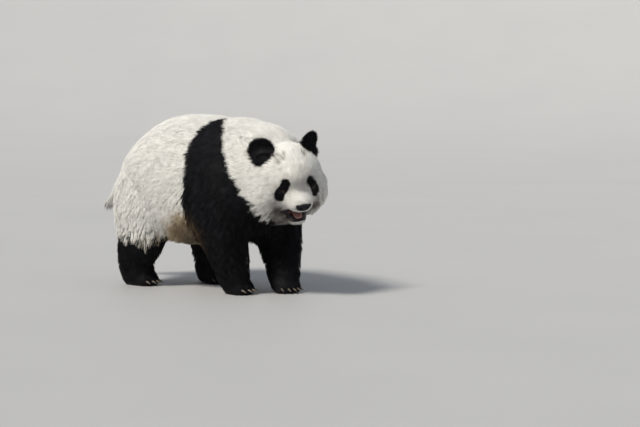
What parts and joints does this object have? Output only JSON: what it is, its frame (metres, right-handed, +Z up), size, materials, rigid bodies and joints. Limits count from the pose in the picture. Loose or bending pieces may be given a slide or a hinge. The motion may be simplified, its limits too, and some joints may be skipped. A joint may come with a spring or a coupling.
{
  "type": "giant panda",
  "caption": "Life-size still model of a giant panda walking with its head turned to its right, in white and black fur.",
  "frame": {"origin": "on the ground, under the middle of the model's bounding box", "axes": "+Z up; the animal faces -Y, so +Y points to its rump; +X is the animal's left"},
  "size_m": [0.553, 1.2484, 0.7522],
  "materials": {
    "white_coat": "dense coarse white fur, cream to ochre on the belly",
    "black_coat": "dense black fur with a faint brown and blue sheen",
    "eye_brown": "wet, very dark brown",
    "nose_leather": "bare, finely grained, half gloss",
    "tongue_pink": "moist pink",
    "claw_horn": "dark horn, half gloss"
  },
  "bodies": {
    "root": {"trunk": "white_coat", "tail": "white_coat", "ear_left": "black_coat", "ear_right": "black_coat", "lower_jaw": "white_coat", "head": "white_coat", "neck": "white_coat", "forepaw_left": "black_coat", "foreleg_left": "black_coat", "forepaw_right": "black_coat", "foreleg_right": "black_coat", "hindpaw_left": "black_coat", "hindleg_left": "black_coat", "hindpaw_right": "black_coat", "hindleg_right": "black_coat", "eye_left": "eye_brown", "eye_right": "eye_brown", "nose": "nose_leather", "tongue": "tongue_pink", "claw_fore_left_1": "claw_horn", "claw_fore_left_2": "claw_horn", "claw_fore_left_3": "claw_horn", "claw_fore_left_4": "claw_horn", "claw_fore_left_5": "claw_horn", "claw_fore_right_1": "claw_horn", "claw_fore_right_2": "claw_horn", "claw_fore_right_3": "claw_horn", "claw_fore_right_4": "claw_horn", "claw_fore_right_5": "claw_horn", "claw_hind_left_1": "claw_horn", "claw_hind_left_2": "claw_horn", "claw_hind_left_3": "claw_horn", "claw_hind_left_4": "claw_horn", "claw_hind_left_5": "claw_horn", "claw_hind_right_1": "claw_horn", "claw_hind_right_2": "claw_horn", "claw_hind_right_3": "claw_horn", "claw_hind_right_4": "claw_horn", "claw_hind_right_5": "claw_horn"}
  },
  "joints": []
}
